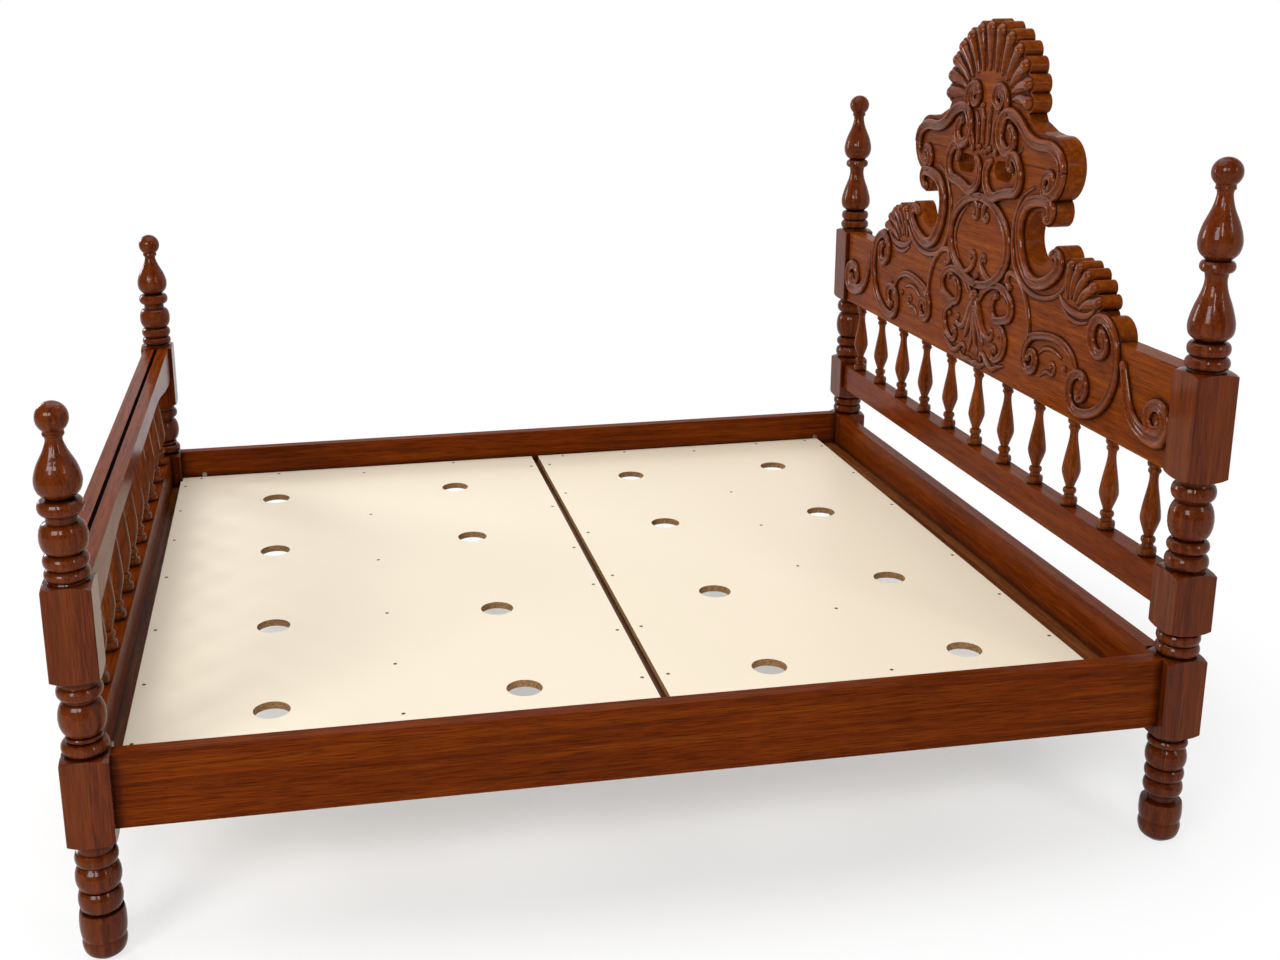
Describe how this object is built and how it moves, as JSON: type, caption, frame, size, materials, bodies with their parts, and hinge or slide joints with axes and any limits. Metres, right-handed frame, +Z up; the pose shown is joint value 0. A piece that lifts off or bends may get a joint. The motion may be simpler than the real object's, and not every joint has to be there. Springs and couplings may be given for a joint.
{
  "type": "double bed",
  "caption": "Wooden double bed with turned posts, spindle-filled headboard and footboard, a carved shell crest, bolted side rails and a vented board deck.",
  "frame": {"origin": "on the floor, at the centre of the rectangle of the four posts", "axes": "+Z up; +Y from the foot to the head; +X to the right-hand side seen from the foot"},
  "size_m": [1.926, 2.206, 1.6399],
  "materials": {
    "wood": "reddish-brown stained hardwood under gloss lacquer",
    "bearer_wood": "plain stained softwood",
    "deck_board": "cream melamine-faced board",
    "steel": "zinc-plated steel"
  },
  "bodies": {
    "root": {"post_head_left": "wood", "post_head_right": "wood", "post_foot_left": "wood", "post_foot_right": "wood", "headboard_panel": "wood", "headboard_crest": "wood", "headboard_low_rail": "wood", "headboard_spindle_01": "wood", "headboard_spindle_02": "wood", "headboard_spindle_03": "wood", "headboard_spindle_04": "wood", "headboard_spindle_05": "wood", "headboard_spindle_06": "wood", "headboard_spindle_07": "wood", "headboard_spindle_08": "wood", "headboard_spindle_09": "wood", "headboard_spindle_10": "wood", "headboard_spindle_11": "wood", "footboard_top_rail": "wood", "footboard_spindle_01": "wood", "footboard_spindle_02": "wood", "footboard_spindle_03": "wood", "footboard_spindle_04": "wood", "footboard_spindle_05": "wood", "footboard_spindle_06": "wood", "footboard_spindle_07": "wood", "footboard_spindle_08": "wood", "footboard_spindle_09": "wood", "footboard_spindle_10": "wood", "footboard_spindle_11": "wood", "head_end_rail": "wood", "foot_end_rail": "wood", "side_rail_left": "wood", "side_rail_right": "wood", "cleat_left": "bearer_wood", "cleat_right": "bearer_wood", "cleat_head": "bearer_wood", "cleat_foot": "bearer_wood", "bearer_foot": "bearer_wood", "bearer_seam": "bearer_wood", "bearer_head": "bearer_wood", "deck_foot": "deck_board", "deck_head": "deck_board", "bed_bolts": "steel", "cross_nuts": "steel"}
  },
  "joints": []
}
